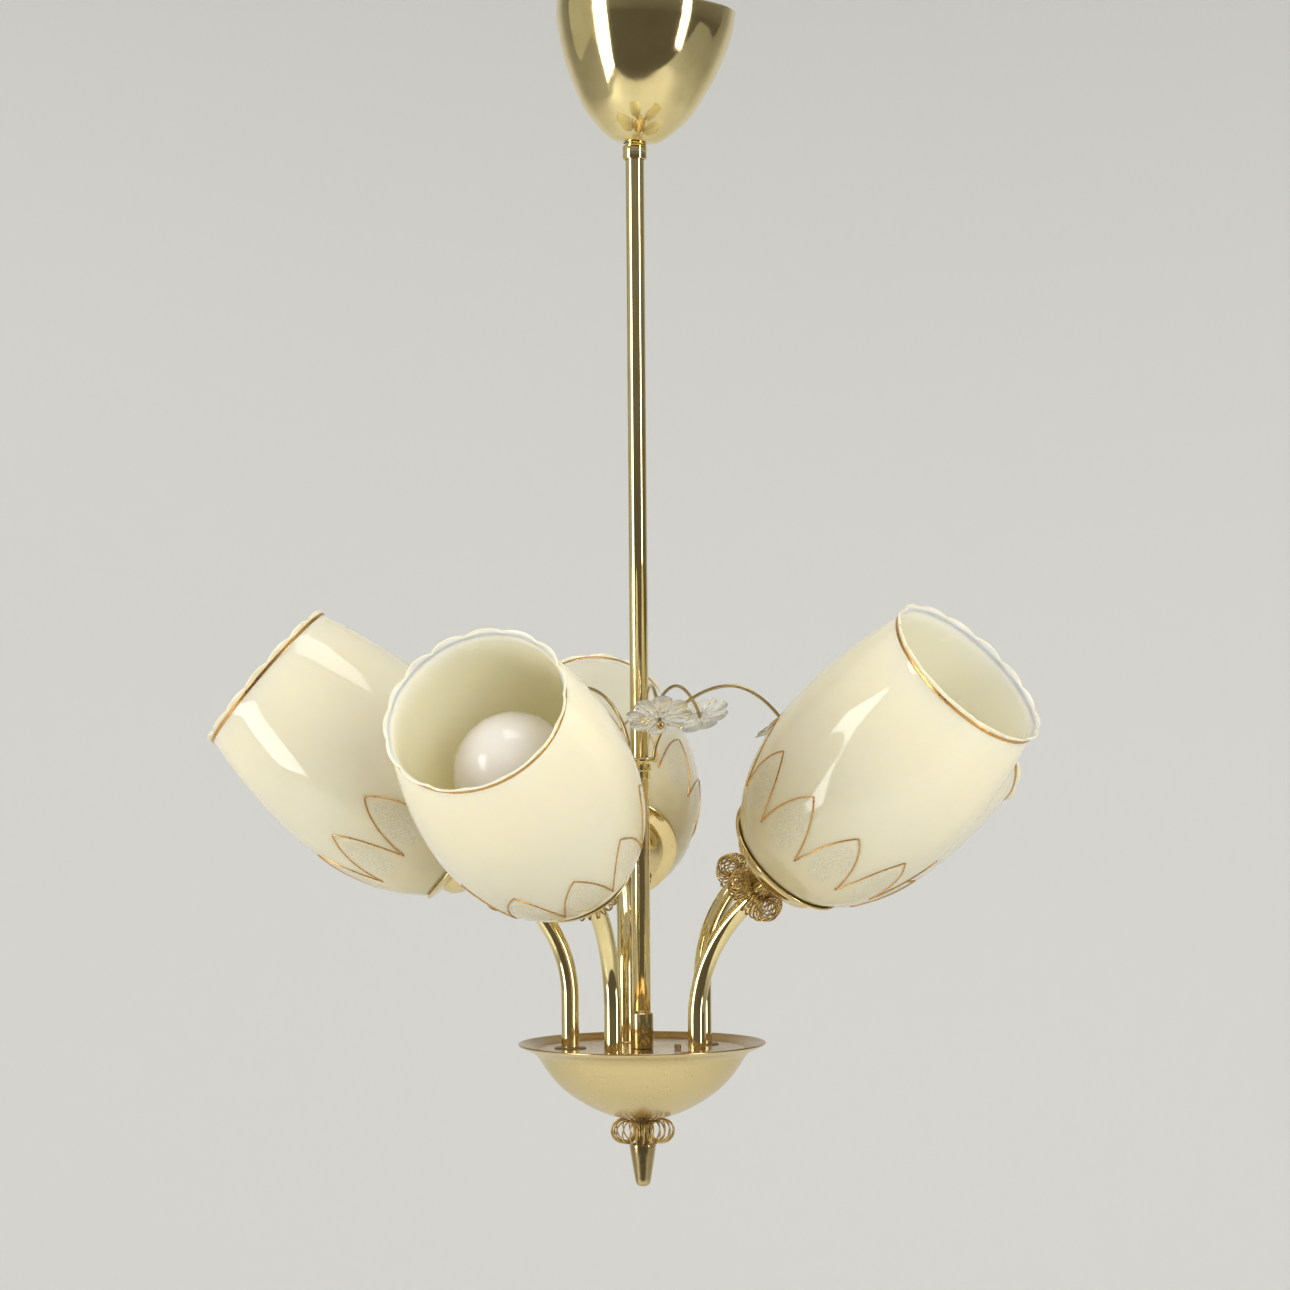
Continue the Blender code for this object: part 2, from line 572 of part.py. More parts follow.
for number, (foot, (cx, cy, cz, azimuth, tilt, bend_r)) in enumerate(zip(feet, ARMS), 1):
    level = Vector((math.cos(rad(azimuth)), math.sin(rad(azimuth)), 0.0))
    axis = level * math.cos(rad(tilt)) + Vector((0, 0, math.sin(rad(tilt))))
    centre = Vector((cx, cy, cz))
    reach = (Vector((cx, cy, 0)) - foot).length
    bend = rad(90.0 - tilt)
    tangent = bend_r * math.tan(bend / 2)
    start_z = cz - reach * math.tan(rad(tilt)) - tangent
    straight = reach / math.cos(rad(tilt)) - tangent
    handle = bend_r * math.tan(bend / 4) * 4 / 3

    # arm_N_swivel stands on the arm's upright foot, arm_N_axis on the middle of the cup's edge
    swivel = empty(f"arm_{number}_swivel", Matrix.Translation(foot * MM), lamp)
    holder = empty(f"arm_{number}_axis", Matrix.Translation((centre - foot) * MM) @ upright(axis), swivel)

    low = Vector((0, 0, start_z))
    high = centre - foot - axis * straight
    line = [Vector((0, 0, TUBE_FOOT)), low]
    steps = 6
    for i in range(1, steps + 1):
        line.append(bezier(low, low + Vector((0, 0, handle)), high - axis * handle, high, i / steps))
    line.append(centre - foot + axis * TUBE_END)
    tube = path_tube(f"arm_tube_{number}", line, TUBE_R, BRASS, 8, caps=False)
    wall = tube.modifiers.new("Wall", "SOLIDIFY")
    wall.thickness = TUBE_WALL * MM
    wall.offset = -1.0
    hold(tube, swivel)

    # the coil sits round the tube at its own distance below the cup, square to the tube there
    if -COIL_AT <= straight:
        coil_at, coil_way = centre - foot + axis * COIL_AT, axis
    else:
        t = 1.0 - (-COIL_AT - straight) / (bend_r * bend)
        ahead = bezier(low, low + Vector((0, 0, handle)), high - axis * handle, high, min(t + 0.02, 1.0))
        behind = bezier(low, low + Vector((0, 0, handle)), high - axis * handle, high, t - 0.02)
        coil_at, coil_way = bezier(low, low + Vector((0, 0, handle)), high - axis * handle, high, t), (ahead - behind).normalized()
    coil = path_tube(f"arm_ruffle_{number}", coil_points(14.9, 6.2, 7.8, 9, 5), COIL_WIRE, WIRE, 4, cyclic=True)
    coil.matrix_basis = Matrix.Translation(coil_at * MM) @ upright(coil_way)
    hold(coil, swivel)
    cup = turned(f"shade_cup_{number}", cup_line + list(reversed(cup_in[:2] + cup_in[3:])), BRASS, 18, closed=True)
    hold(cup, holder)
    glass = bpy.data.objects.new(f"glass_shade_{number}", shade_glass)
    PARTS.objects.link(glass)
    hold(glass, holder)
    floor_top = GLASS_PROFILE[0][1] + GLASS_WALL + GAP
    nut = turned(
        f"shade_nut_{number}",
        [(15.0, floor_top + 4.0), (15.0, floor_top), (TUBE_R + 0.7, floor_top), (TUBE_R + 0.7, floor_top + 4.0)],
        BRASS, 10, closed=True,
    )
    hold(nut, holder)
    socket = turned(
        f"lamp_socket_{number}",
        [(0.0, 16.0), (SOCKET_BORE, 16.0), (SOCKET_BORE, 46.0), (SOCKET_R, 46.0), (SOCKET_R, 18.0), (10.5, 8.0), (10.5, TUBE_END + GAP), (0.0, TUBE_END + GAP)],
        HOLDER, 12,
    )
    hold(socket, holder)
    globe = [(BULB_R * math.sin(rad(a)), BULB_CENTRE + BULB_R * math.cos(rad(a))) for a in (0.0, 28.0, 56.0, 84.0, 112.0, 140.0)]
    hollow = [((BULB_R - BULB_WALL) * math.sin(rad(a)), BULB_CENTRE + (BULB_R - BULB_WALL) * math.cos(rad(a))) for a in (0.0, 42.0, 84.0, 126.0)]
    bulb = turned(
        f"bulb_{number}",
        globe + [(13.4, 70.0), (13.0, 24.0), (5.0, BULB_TRAVEL_STOP), (3.0, BULB_TRAVEL_STOP), (11.6, 68.0)] + hollow[::-1],
        BULB, 12,
    )
    hold(bulb, holder)

bpy.context.view_layer.update()
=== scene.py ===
"""Looks of the five arm brass chandelier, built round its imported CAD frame. Lengths in the tables are millimetres."""
import math

import bpy
import numpy as np
from mathutils import Matrix, Vector


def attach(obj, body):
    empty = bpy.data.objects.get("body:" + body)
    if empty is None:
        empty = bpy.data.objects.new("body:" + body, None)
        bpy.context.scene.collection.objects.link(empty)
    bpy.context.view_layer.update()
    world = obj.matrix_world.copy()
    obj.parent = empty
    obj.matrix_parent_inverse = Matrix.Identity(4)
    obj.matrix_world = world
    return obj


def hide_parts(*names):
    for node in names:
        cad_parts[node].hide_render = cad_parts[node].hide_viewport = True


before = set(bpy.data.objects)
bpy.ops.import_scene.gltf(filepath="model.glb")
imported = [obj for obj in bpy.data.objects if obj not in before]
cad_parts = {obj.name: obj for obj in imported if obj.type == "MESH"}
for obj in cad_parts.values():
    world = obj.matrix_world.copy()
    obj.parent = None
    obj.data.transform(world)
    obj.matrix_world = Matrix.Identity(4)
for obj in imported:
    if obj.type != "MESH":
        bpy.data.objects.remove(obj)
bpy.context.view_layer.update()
bpy.context.scene.view_settings.view_transform = "Standard"

PI = math.pi
MM = 0.001
RIM_Z = -732.0
LAMP = Matrix.Translation((0, 0, RIM_Z * MM))


def rad(a):
    return a * PI / 180.0


# ------------------------------------------------------------------ dimensions, as in the CAD
ROD_R, ROD_WALL, ROD_BOTTOM, ROD_TOP = 6.65, 1.1, 8.0, 699.0
LOOP_R, LOOP_WIRE, LOOP_CENTRE = 11.0, 2.6, 723.6
CANOPY_FOOT = 642.6
COLLAR_R, COLLAR_TOP, COLLAR_HEIGHT = 8.65, 641.2, 10.0
HUB_TOP, HUB_FLANGE_R = 204.6, 13.3
WIRE_R, WIRE_ROOT_R, FLOWER_R, FLOWER_THICK, BALL_R, FLOWER_SLOPE = 1.25, 10.4, 23.0, 3.6, 3.1, 55.0
SPRAY = [
    (-82.0, 60.0, 255.0, 101.0, 232.0),
    (-12.0, 66.0, 255.0, 104.0, 229.0),
    (63.0, 60.0, 256.0, 99.0, 233.0),
    (130.0, 62.0, 255.0, 101.0, 231.0),
    (-155.0, 62.0, 254.0, 101.0, 231.0),
]
HOLE_RING_R, HOLE_FIRST = 51.4, -41.0
PLATE_TOP = -3.4
TUBE_R, TUBE_FOOT, TUBE_END, COIL_AT = 6.3, -13.0, 4.0, -38.0
ARMS = [
    (103.1, -72.1, 133.7, -34.6, 41.6, 105.0),
    (101.7, 67.0, 132.5, 33.2, 27.0, 86.0),
    (-18.0, 125.9, 133.7, 97.5, 30.7, 98.0),
    (-122.4, -0.6, 139.5, 180.3, 41.0, 96.0),
    (-46.7, -118.6, 133.7, -110.9, 33.1, 105.0),
]
BULB_CENTRE, BULB_R = 116.0, 39.8
PETALS, PETAL_LOW, PETAL_HIGH = 11, 31.0, 78.5
PETAL_PHASE = [0.73, 0.4, 0.2, 0.64, 0.31]
LEAF_MIDDLE, LEAF_HALF, LEAF_SPREAD = 49.0, 21.0, 0.6


# ------------------------------------------------------------------ node helpers
class Nodes:
    def __init__(self, name):
        self.material = bpy.data.materials.new(name)
        self.material.use_nodes = True
        self.tree = self.material.node_tree
        self.shader = self.tree.nodes["Principled BSDF"]
        self.output = self.tree.nodes["Material Output"]

    def new(self, kind, **values):
        node = self.tree.nodes.new(kind)
        for key, value in values.items():
            setattr(node, key, value)
        return node

    def link(self, a, b):
        self.tree.links.new(a, b)

    def put(self, socket, value):
        if hasattr(value, "links") or isinstance(value, bpy.types.NodeSocket):
            self.link(value, socket)
        else:
            socket.default_value = value

    def math(self, operation, a, b=None, c=None, clamp=False):
        node = self.new("ShaderNodeMath", operation=operation, use_clamp=clamp)
        for socket, value in zip(node.inputs, (a, b, c)):
            if value is not None:
                self.put(socket, value)
        return node.outputs[0]

    def coords(self, scale=(1, 1, 1)):
        texture = self.new("ShaderNodeTexCoord")
        mapping = self.new("ShaderNodeMapping")
        mapping.inputs["Scale"].default_value = scale
        self.link(texture.outputs["Object"], mapping.inputs["Vector"])
        return mapping.outputs["Vector"]

    def noise(self, scale, detail=4.0, rough=0.55, vector=None, distortion=0.0):
        node = self.new("ShaderNodeTexNoise")
        node.inputs["Scale"].default_value = scale
        node.inputs["Detail"].default_value = detail
        node.inputs["Roughness"].default_value = rough
        node.inputs["Distortion"].default_value = distortion
        self.link(vector if vector is not None else self.coords(), node.inputs["Vector"])
        return node.outputs["Fac"]

    def ramp(self, factor, stops):
        node = self.new("ShaderNodeValToRGB")
        ramp = node.color_ramp
        while len(ramp.elements) < len(stops):
            ramp.elements.new(0.5)
        for element, (place, colour) in zip(ramp.elements, stops):
            element.position = place
            element.color = (*colour, 1.0) if len(colour) == 3 else colour
        self.link(factor, node.inputs["Fac"])
        return node.outputs["Color"]

    def mix(self, factor, a, b, blend="MIX"):
        node = self.new("ShaderNodeMix", data_type="RGBA", blend_type=blend)
        self.put(node.inputs["Factor"], factor)
        for socket, value in ((node.inputs["A"], a), (node.inputs["B"], b)):
            if isinstance(value, tuple):
                socket.default_value = (*value, 1.0)
            else:
                self.link(value, socket)
        return node.outputs["Result"]

    def range(self, value, a, b, low, high):
        node = self.new("ShaderNodeMapRange")
        node.inputs["From Min"].default_value = a
        node.inputs["From Max"].default_value = b
        node.inputs["To Min"].default_value = low
        node.inputs["To Max"].default_value = high
        self.link(value, node.inputs["Value"])
        return node.outputs["Result"]

    def bump(self, height, strength, distance):
        node = self.new("ShaderNodeBump")
        node.inputs["Strength"].default_value = strength
        node.inputs["Distance"].default_value = distance
        self.link(height, node.inputs["Height"])
        self.link(node.outputs["Normal"], self.shader.inputs["Normal"])

    def set(self, **values):
        for key, value in values.items():
            self.put(self.shader.inputs[key.replace("_", " ")], value)


def brass(name, bright, dull, smooth_low, smooth_high, stretch=(1, 1, 1), pits=0.02, patch=38.0):
    n = Nodes(name)
    patches = n.noise(patch, 5.0, 0.6)
    fine = n.noise(420.0, 3.0, 0.5, n.coords(stretch))
    tarnish = n.ramp(patches, [(0.36, bright), (0.62, tuple(0.6 * a + 0.4 * b for a, b in zip(bright, dull))), (0.78, dull)])
    speck = n.ramp(n.noise(210.0, 2.0), [(0.66, (0, 0, 0)), (0.74, (1, 1, 1))])
    colour = n.mix(n.math("MULTIPLY", speck, 0.35), tarnish, dull)
    n.link(colour, n.shader.inputs["Base Color"])
    n.link(n.range(n.math("ADD", n.math("MULTIPLY", patches, 0.6), n.math("MULTIPLY", fine, 0.4)), 0.3, 0.7, smooth_low, smooth_high), n.shader.inputs["Roughness"])
    n.set(Metallic=1.0)
    n.bump(fine, pits, 0.0004)
    return n.material


POLISHED = brass("polished brass", (0.87, 0.74, 0.38), (0.70, 0.55, 0.25), 0.05, 0.12)
ROD_BRASS = brass("stem brass", (0.87, 0.74, 0.38), (0.70, 0.54, 0.25), 0.04, 0.11, stretch=(1, 1, 0.06), pits=0.03)
SATIN = brass("satin brass", (0.745, 0.61, 0.315), (0.715, 0.58, 0.29), 0.20, 0.30, pits=0.008, patch=9.0)
CUP_BRASS = brass("cup brass", (0.84, 0.68, 0.34), (0.64, 0.47, 0.2), 0.07, 0.17)
# A darker copy of the brass for the cover plate and the washers of arms 1, 3 and 5: painted shade.
PLATE_SHADE_BRASS = brass("plate brass with painted shade", (0.66, 0.50, 0.27), (0.40, 0.27, 0.13), 0.16, 0.34, patch=16.0)
# A darker copy of the brass for the bowl's inside and rim top: painted shade.
BOWL_INSIDE_SHADE = brass("bowl inside brass with painted shade", (0.50, 0.35, 0.18), (0.32, 0.21, 0.10), 0.14, 0.28, patch=20.0)
WIRE_BRASS = brass("coil wire brass", (0.60, 0.43, 0.17), (0.32, 0.21, 0.07), 0.10, 0.22, patch=90.0)
SPRAY_BRASS = brass("spray wire brass", (0.60, 0.46, 0.22), (0.36, 0.25, 0.11), 0.12, 0.24, patch=70.0)
# A darker copy of the polished brass for the sleeve and the finial: painted shade.
SHADE_PAINTED_BRASS = brass("shade painted brass", (0.58, 0.46, 0.22), (0.36, 0.27, 0.12), 0.10, 0.22)
# Very dark brown brass for the plate screw, pin and tie nipple, and for the washers of arms 4 and 2, where it is
# painted shade.
DEEP_BROWN_BRASS = brass("deep brown brass", (0.30, 0.20, 0.10), (0.10, 0.065, 0.035), 0.28, 0.5, patch=60.0)
STEEL = brass("lamp cap metal", (0.78, 0.74, 0.66), (0.55, 0.50, 0.42), 0.18, 0.3)


def gilt():
    n = Nodes("gilt line")
    wear = n.noise(260.0, 3.0, 0.6)
    n.link(n.ramp(wear, [(0.35, (0.80, 0.47, 0.15)), (0.7, (0.62, 0.34, 0.10))]), n.shader.inputs["Base Color"])
    n.link(n.range(wear, 0.3, 0.7, 0.18, 0.4), n.shader.inputs["Roughness"])
    n.set(Metallic=1.0)
    return n.material


GILT = gilt()


def opal_outside(number):
    """Cased cream opal glass: glossy, with pointed frosted petals on its lower part."""
    n = Nodes(f"cream opal glass {number}")
    texture = n.new("ShaderNodeTexCoord")
    split = n.new("ShaderNodeSeparateXYZ")
    n.link(texture.outputs["Object"], split.inputs["Vector"])
    x, y, z = split.outputs
    turn = n.math("ARCTAN2", y, x)
    wave = n.math("FRACT", n.math("ADD", n.math("MULTIPLY", turn, PETALS / (2 * PI)), 20.0 - PETAL_PHASE[number - 1]))
    aside = n.math("SUBTRACT", 1.0, n.math("MULTIPLY", n.math("ABSOLUTE", n.math("SUBTRACT", wave, 0.5)), 2.0))
    # aside is 0 on a petal's middle line and 1 in the valley between two petals
    along = n.math("MULTIPLY", n.math("SUBTRACT", z, LEAF_MIDDLE * MM), 1 / (LEAF_HALF * MM))
    narrow = n.math("ADD", LEAF_SPREAD, n.math("MULTIPLY", along, -0.16))
    spread = n.math("DIVIDE", aside, narrow)
    far = n.math("ADD", n.math("POWER", n.math("ABSOLUTE", along), 2.0), n.math("POWER", spread, 2.0))
    ragged = n.math("ADD", far, n.math("MULTIPLY", n.math("SUBTRACT", n.noise(480.0, 2.0, 0.8), 0.5), 0.5))
    frosted = n.math("MULTIPLY", n.math("SUBTRACT", 1.0, ragged), 6.0, clamp=True)
    cloud = n.noise(14.0, 3.0, 0.5)
    # The tone is darker and yellower towards the cup end: painted shade.
    tone = n.ramp(n.math("MULTIPLY", z, 5.0), [(0.0, (0.68, 0.57, 0.33)), (0.2, (0.82, 0.69, 0.455)), (0.5, (0.89, 0.752, 0.54)), (0.93, (0.90, 0.768, 0.565))])
    tone = n.mix(n.math("MULTIPLY", cloud, 0.2), tone, (0.87, 0.73, 0.485))
    grain = n.noise(900.0, 2.0, 0.7)
    frost_tone = n.mix(n.math("MULTIPLY", n.math("SUBTRACT", grain, 0.35), 3.3, clamp=True), (0.63, 0.54, 0.36), (0.82, 0.73, 0.53))
    n.link(n.mix(frosted, tone, frost_tone), n.shader.inputs["Base Color"])
    smooth = n.range(cloud, 0.3, 0.7, 0.03, 0.06)
    rough = n.math("ADD", n.math("MULTIPLY", frosted, 0.28), smooth)
    n.link(rough, n.shader.inputs["Roughness"])
    n.shader.inputs["IOR"].default_value = 1.5
    n.shader.inputs["Subsurface Weight"].default_value = 0.9
    n.shader.inputs["Subsurface Radius"].default_value = (1.0, 0.85, 0.6)
    n.shader.inputs["Subsurface Scale"].default_value = 0.016
    ripple = n.noise(26.0, 2.0, 0.4)
    height = n.math("ADD", n.math("MULTIPLY", ripple, 0.5), n.math("MULTIPLY", n.math("MULTIPLY", grain, frosted), 0.2))
    n.bump(height, 0.22, 0.0006)
    return n.material


def opal_inside_painted_light():
    n = Nodes("opal glass inside with painted light and shade")
    texture = n.new("ShaderNodeTexCoord")
    split = n.new("ShaderNodeSeparateXYZ")
    n.link(texture.outputs["Object"], split.inputs["Vector"])
    z = split.outputs[2]
    cloud = n.noise(18.0, 3.0, 0.5)
    # Paler and lighter than the outside glass: painted light coming through the glass. Darker towards the bottom of the
    # shade: painted shade.
    tone = n.ramp(n.math("MULTIPLY", z, 5.0), [(0.0, (0.86, 0.76, 0.50)), (0.5, (0.92, 0.845, 0.62)), (0.85, (0.93, 0.87, 0.67)), (0.95, (0.93, 0.88, 0.70))])
    n.link(n.mix(n.math("MULTIPLY", cloud, 0.3), tone, (0.90, 0.82, 0.58)), n.shader.inputs["Base Color"])
    n.link(n.range(cloud, 0.3, 0.7, 0.16, 0.28), n.shader.inputs["Roughness"])
    n.shader.inputs["Subsurface Weight"].default_value = 0.9
    n.shader.inputs["Subsurface Radius"].default_value = (1.0, 0.85, 0.6)
    n.shader.inputs["Subsurface Scale"].default_value = 0.016
    n.bump(n.noise(34.0, 2.0), 0.2, 0.0005)
    return n.material


def lip_glass():
    """The fire-polished edge: clearer and whiter than the body."""
    n = Nodes("fire polished lip")
    cloud = n.noise(90.0, 3.0, 0.6)
    n.link(n.ramp(cloud, [(0.3, (0.90, 0.83, 0.62)), (0.7, (0.80, 0.70, 0.46))]), n.shader.inputs["Base Color"])
    n.link(n.range(cloud, 0.3, 0.7, 0.03, 0.08), n.shader.inputs["Roughness"])
    n.shader.inputs["Subsurface Weight"].default_value = 0.5
    n.shader.inputs["Subsurface Radius"].default_value = (1.0, 0.85, 0.6)
    n.shader.inputs["Subsurface Scale"].default_value = 0.006
    n.shader.inputs["Coat Weight"].default_value = 0.6
    n.bump(n.noise(160.0, 2.0), 0.35, 0.0008)
    return n.material


def bulb_glass():
    n = Nodes("opal lamp glass")
    cloud = n.noise(30.0, 3.0, 0.5)
    n.link(n.ramp(cloud, [(0.3, (0.82, 0.785, 0.735)), (0.7, (0.79, 0.75, 0.69))]), n.shader.inputs["Base Color"])
    n.link(n.range(cloud, 0.3, 0.7, 0.08, 0.14), n.shader.inputs["Roughness"])
    n.shader.inputs["Subsurface Weight"].default_value = 0.4
    n.shader.inputs["Subsurface Radius"].default_value = (1.0, 0.9, 0.8)
    n.shader.inputs["Subsurface Scale"].default_value = 0.01
    n.bump(n.noise(60.0, 2.0), 0.05, 0.0003)
    return n.material


def crystal_glass():
    n = Nodes("clear pressed glass")
    seeds = n.noise(240.0, 3.0, 0.6)
    n.link(n.ramp(seeds, [(0.3, (0.995, 0.98, 0.91)), (0.75, (0.98, 0.96, 0.86))]), n.shader.inputs["Base Color"])
    n.link(n.range(seeds, 0.3, 0.7, 0.0, 0.05), n.shader.inputs["Roughness"])
    n.shader.inputs["Transmission Weight"].default_value = 0.82
    n.shader.inputs["IOR"].default_value = 1.52
    n.bump(n.noise(190.0, 2.0, 0.5), 0.25, 0.0008)
    return n.material


def holder_plastic():
    n = Nodes("lamp holder phenolic")
    cloud = n.noise(120.0, 3.0, 0.5)
    n.link(n.ramp(cloud, [(0.3, (0.05, 0.042, 0.036)), (0.7, (0.09, 0.075, 0.06))]), n.shader.inputs["Base Color"])
    n.link(n.range(cloud, 0.3, 0.7, 0.3, 0.5), n.shader.inputs["Roughness"])
    n.bump(cloud, 0.1, 0.0003)
    return n.material


def pale_wall():
    n = Nodes("pale backdrop")
    texture = n.new("ShaderNodeTexCoord")
    split = n.new("ShaderNodeSeparateXYZ")
    n.link(texture.outputs["Object"], split.inputs["Vector"])
    cloud = n.noise(1.1, 2.0, 0.5)
    # The backdrop is painted a little darker towards the top: painted shade.
    height = n.range(split.outputs[2], -2.0, 1.2, 0.0, 1.0)
    tone = n.ramp(height, [(0.0, (0.76, 0.755, 0.73)), (0.45, (0.75, 0.75, 0.73)), (1.0, (0.69, 0.695, 0.675))])
    n.link(n.mix(n.math("MULTIPLY", cloud, 0.06), tone, (0.70, 0.69, 0.66)), n.shader.inputs["Base Color"])
    n.set(Roughness=0.9)
    n.shader.inputs["Specular IOR Level"].default_value = 0.1
    return n.material


INSIDE = opal_inside_painted_light()
LIP = lip_glass()
BULB_GLASS = bulb_glass()
CRYSTAL = crystal_glass()
HOLDER = holder_plastic()


# ------------------------------------------------------------------ shape helpers
def mesh_object(name, points, faces, materials, indices=None, angle=40.0):
    mesh = bpy.data.meshes.new(name)
    mesh.from_pydata([tuple(p) for p in points], [], faces)
    mesh.validate(clean_customdata=False)
    for one in materials if isinstance(materials, (list, tuple)) else [materials]:
        mesh.materials.append(one)
    if indices is not None:
        mesh.polygons.foreach_set("material_index", indices)
    mesh.shade_smooth()
    if angle:
        mesh.set_sharp_from_angle(angle=rad(angle))
    made = bpy.data.objects.new(name, mesh)
    bpy.context.scene.collection.objects.link(made)
    return made


def place(made, matrix, body, node=None, slot=None):
    made.matrix_world = matrix
    bpy.context.view_layer.update()
    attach(made, body)
    if node:
        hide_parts(node)
    return made


def curve_through(points, per=6, closed=False):
    """Catmull-Rom through a list of points of any dimension."""
    pts = [np.array(p, float) for p in points]
    count = len(pts)
    out = []
    last = count if closed else count - 1
    for i in range(last):
        if closed:
            p0, p1, p2, p3 = pts[(i - 1) % count], pts[i], pts[(i + 1) % count], pts[(i + 2) % count]
        else:
            p0 = pts[i - 1] if i else 2 * pts[0] - pts[1]
            p1, p2 = pts[i], pts[i + 1]
            p3 = pts[i + 2] if i + 2 < count else 2 * pts[-1] - pts[-2]
        t0 = 0.0
        t1 = t0 + max(np.linalg.norm(p1 - p0), 1e-9) ** 0.5
        t2 = t1 + max(np.linalg.norm(p2 - p1), 1e-9) ** 0.5
        t3 = t2 + max(np.linalg.norm(p3 - p2), 1e-9) ** 0.5
        for k in range(per):
            t = t1 + (t2 - t1) * k / per
            a1 = (t1 - t) / (t1 - t0) * p0 + (t - t0) / (t1 - t0) * p1
            a2 = (t2 - t) / (t2 - t1) * p1 + (t - t1) / (t2 - t1) * p2
            a3 = (t3 - t) / (t3 - t2) * p2 + (t - t2) / (t3 - t2) * p3
            b1 = (t2 - t) / (t2 - t0) * a1 + (t - t0) / (t2 - t0) * a2
            b2 = (t3 - t) / (t3 - t1) * a2 + (t - t1) / (t3 - t1) * a3
            out.append((t2 - t) / (t2 - t1) * b1 + (t - t1) / (t2 - t1) * b2)
    if not closed:
        out.append(pts[-1])
    return out


def lathe(name, line, materials, sides=96, closed=False, angle=32.0, change=None, pick=None):
    """A line of (radius, height) millimetres turned about +Z. It runs down the outer side.
    change(radius, height, turn) may move each point; pick(row) gives a row's material index."""
    points, rows = [], []
    for r, z in line:
        if r < 1e-6:
            rows.append([len(points)])
            points.append((0.0, 0.0, z * MM))
            continue
        row = []
        for i in range(sides):
            turn = 2 * PI * i / sides
            rr, zz = change(r, z, turn) if change else (r, z)
            row.append(len(points))
            points.append((rr * math.cos(turn) * MM, rr * math.sin(turn) * MM, zz * MM))
        rows.append(row)
    pairs = list(zip(rows[:-1], rows[1:], range(len(rows))))
    if closed:
        pairs.append((rows[-1], rows[0], len(rows) - 1))
    faces, index = [], []
    for a, b, k in pairs:
        for i in range(sides):
            j = (i + 1) % sides
            if len(a) == 1 and len(b) == 1:
                continue
            if len(a) == 1:
                faces.append((a[0], b[i], b[j]))
            elif len(b) == 1:
                faces.append((a[i], b[0], a[j]))
            else:
                faces.append((a[i], b[i], b[j], a[j]))
            index.append(pick(k) if pick else 0)
    return mesh_object(name, points, faces, materials, index, angle)


def sweep_data(line, radius, sides=12, closed=False, radii=None, offset=0):
    """Points and faces of a round wire along a list of millimetre points, with a turning frame that doesn't twist."""
    pts = np.array([tuple(p) for p in line], float)
    count = len(pts)
    if closed:
        way = np.roll(pts, -1, 0) - np.roll(pts, 1, 0)
    else:
        way = np.gradient(pts, axis=0)
    way /= np.linalg.norm(way, axis=1)[:, None] + 1e-12
    first = np.cross(way[0], [0.0, 0.0, 1.0])
    if np.linalg.norm(first) < 1e-3:
        first = np.cross(way[0], [1.0, 0.0, 0.0])
    first /= np.linalg.norm(first)
    normals = [first]
    for i in range(1, count):
        v = normals[-1] - way[i] * np.dot(normals[-1], way[i])
        normals.append(v / (np.linalg.norm(v) + 1e-12))
    if closed:
        v = normals[-1] - way[0] * np.dot(normals[-1], way[0])
        v /= np.linalg.norm(v)
        twist = math.atan2(np.dot(np.cross(v, normals[0]), way[0]), np.dot(v, normals[0]))
        for i in range(count):
            a = twist * i / count
            b = np.cross(way[i], normals[i])
            normals[i] = normals[i] * math.cos(a) + b * math.sin(a)
    points, faces = [], []
    for i in range(count):
        n, b = normals[i], np.cross(way[i], normals[i])
        r = radius if radii is None else radii[i]
        for k in range(sides):
            a = 2 * PI * k / sides
            points.append((pts[i] + (n * math.cos(a) + b * math.sin(a)) * r) * MM)
    runs = count if closed else count - 1
    for i in range(runs):
        j = (i + 1) % count
        for k in range(sides):
            m = (k + 1) % sides
            faces.append((offset + i * sides + k, offset + i * sides + m, offset + j * sides + m, offset + j * sides + k))
    if not closed:
        faces.append(tuple(offset + k for k in reversed(range(sides))))
        faces.append(tuple(offset + (count - 1) * sides + k for k in range(sides)))
    return points, faces


def sweep(name, lines, radius, material, sides=12, closed=False, radii=None, angle=50.0):
    points, faces = [], []
    for line in lines:
        p, f = sweep_data(line, radius, sides, closed, radii, len(points))
        points += p
        faces += f
    return mesh_object(name, points, faces, material, None, angle)


def upright(direction):
    z = Vector(direction).normalized()
    x = Vector((-z.y, z.x, 0.0))
    x = x.normalized() if x.length > 1e-6 else Vector((1.0, 0.0, 0.0))
    y = z.cross(x)
    return Matrix((x, y, z)).transposed().to_4x4()


def bezier(p0, p1, p2, p3, t):
    s = 1.0 - t
    return p0 * s ** 3 + p1 * 3 * s * s * t + p2 * 3 * s * t * t + p3 * t ** 3


def rolled(points, per=5):
    return [tuple(p) for p in curve_through(points, per)]


def wave_noise(i, k):
    """A repeatable number between -1 and 1 for each pair."""
    return math.sin(i * 12.9898 + k * 78.233) * 0.6 + math.sin(i * 4.137 + k * 31.71) * 0.4


